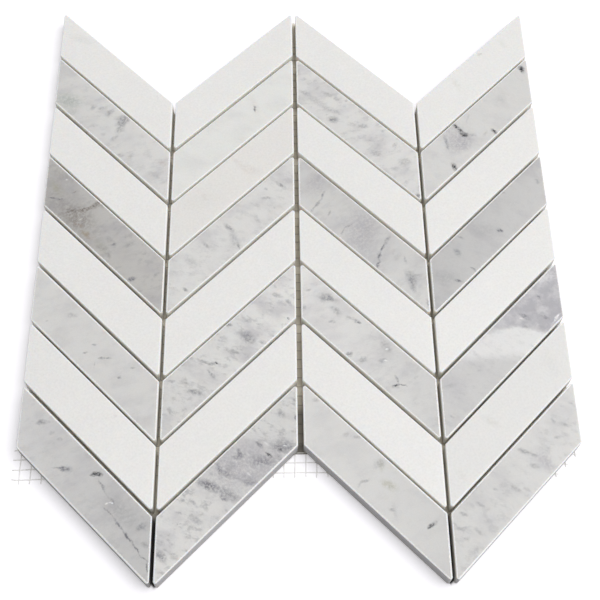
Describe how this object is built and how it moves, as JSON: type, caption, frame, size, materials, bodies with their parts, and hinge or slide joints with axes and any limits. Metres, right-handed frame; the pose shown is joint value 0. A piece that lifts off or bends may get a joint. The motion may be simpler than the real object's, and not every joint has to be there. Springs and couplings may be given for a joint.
{
  "type": "marble chevron mosaic tile sheet",
  "caption": "Sheet of mitred marble chips, white and grey-veined in turn, laid in mirrored chevron columns on a backing net",
  "frame": {"origin": "centre of the sheet on the underside of the backing net, on the line of the centre joint", "axes": "+X across the columns to the sheet's right, +Y up the centre joint to the top apexes, +Z out of the polished face"},
  "size_m": [0.3098, 0.3742, 0.01],
  "materials": {
    "white_marble": "polished",
    "veined_marble": "polished",
    "backing_mesh": "coated glass-fibre thread"
  },
  "bodies": {
    "root": {"white_marble_a1": "white_marble", "veined_marble_a2": "veined_marble", "white_marble_a3": "white_marble", "veined_marble_a4": "veined_marble", "white_marble_a5": "white_marble", "veined_marble_a6": "veined_marble", "white_marble_a7": "white_marble", "veined_marble_a8": "veined_marble", "white_marble_b1": "white_marble", "veined_marble_b2": "veined_marble", "white_marble_b3": "white_marble", "veined_marble_b4": "veined_marble", "white_marble_b5": "white_marble", "veined_marble_b6": "veined_marble", "white_marble_b7": "white_marble", "veined_marble_b8": "veined_marble", "white_marble_c1": "white_marble", "veined_marble_c2": "veined_marble", "white_marble_c3": "white_marble", "veined_marble_c4": "veined_marble", "white_marble_c5": "white_marble", "veined_marble_c6": "veined_marble", "white_marble_c7": "white_marble", "veined_marble_c8": "veined_marble", "white_marble_d1": "white_marble", "veined_marble_d2": "veined_marble", "white_marble_d3": "white_marble", "veined_marble_d4": "veined_marble", "white_marble_d5": "white_marble", "veined_marble_d6": "veined_marble", "white_marble_d7": "white_marble", "veined_marble_d8": "veined_marble", "mesh_threads_across": "backing_mesh", "mesh_threads_along": "backing_mesh"}
  },
  "joints": []
}
